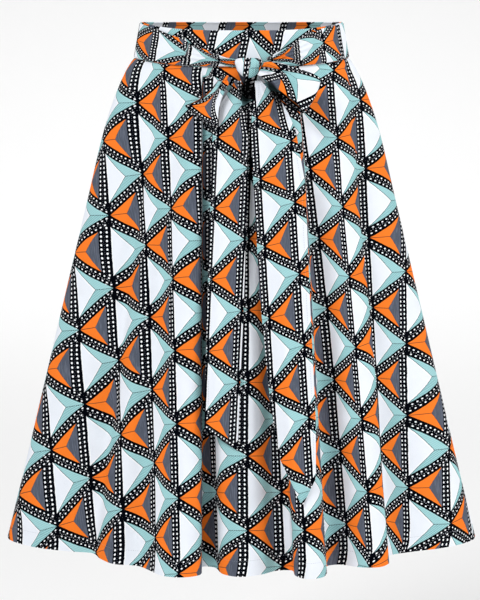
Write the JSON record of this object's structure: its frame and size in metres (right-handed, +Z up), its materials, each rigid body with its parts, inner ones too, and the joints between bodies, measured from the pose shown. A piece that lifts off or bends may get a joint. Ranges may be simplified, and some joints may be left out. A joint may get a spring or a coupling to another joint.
{
  "type": "midi skirt",
  "caption": "Worn midi skirt in printed cotton: flared and softly pleated, on a shaped waistband with a sash tied in a bow.",
  "frame": {"origin": "centre of the waist opening, level with the upper edge of the back of the waistband, where the wearer's waist holds the skirt", "axes": "+Z up along the length, -Y out of the front where the bow is, +X to the viewer's right when facing the front"},
  "size_m": [0.66, 0.4603, 0.72],
  "materials": {
    "skirt_cloth": "matt printed plain-weave cotton, black ground with white dots and orange, aqua, grey and white triangles",
    "band_cloth": "the same printed cotton, double and firm",
    "sash_cloth": "the same printed cotton, soft and lightly creased"
  },
  "bodies": {
    "root": {"skirt_front": "skirt_cloth", "skirt_back": "skirt_cloth", "waistband_front": "band_cloth", "waistband_back": "band_cloth", "sash_arm_left": "sash_cloth", "sash_arm_right": "sash_cloth", "bow_knot": "sash_cloth", "bow_loop_left": "sash_cloth", "bow_loop_right": "sash_cloth", "tail_left": "sash_cloth", "tail_right": "sash_cloth"}
  },
  "joints": []
}
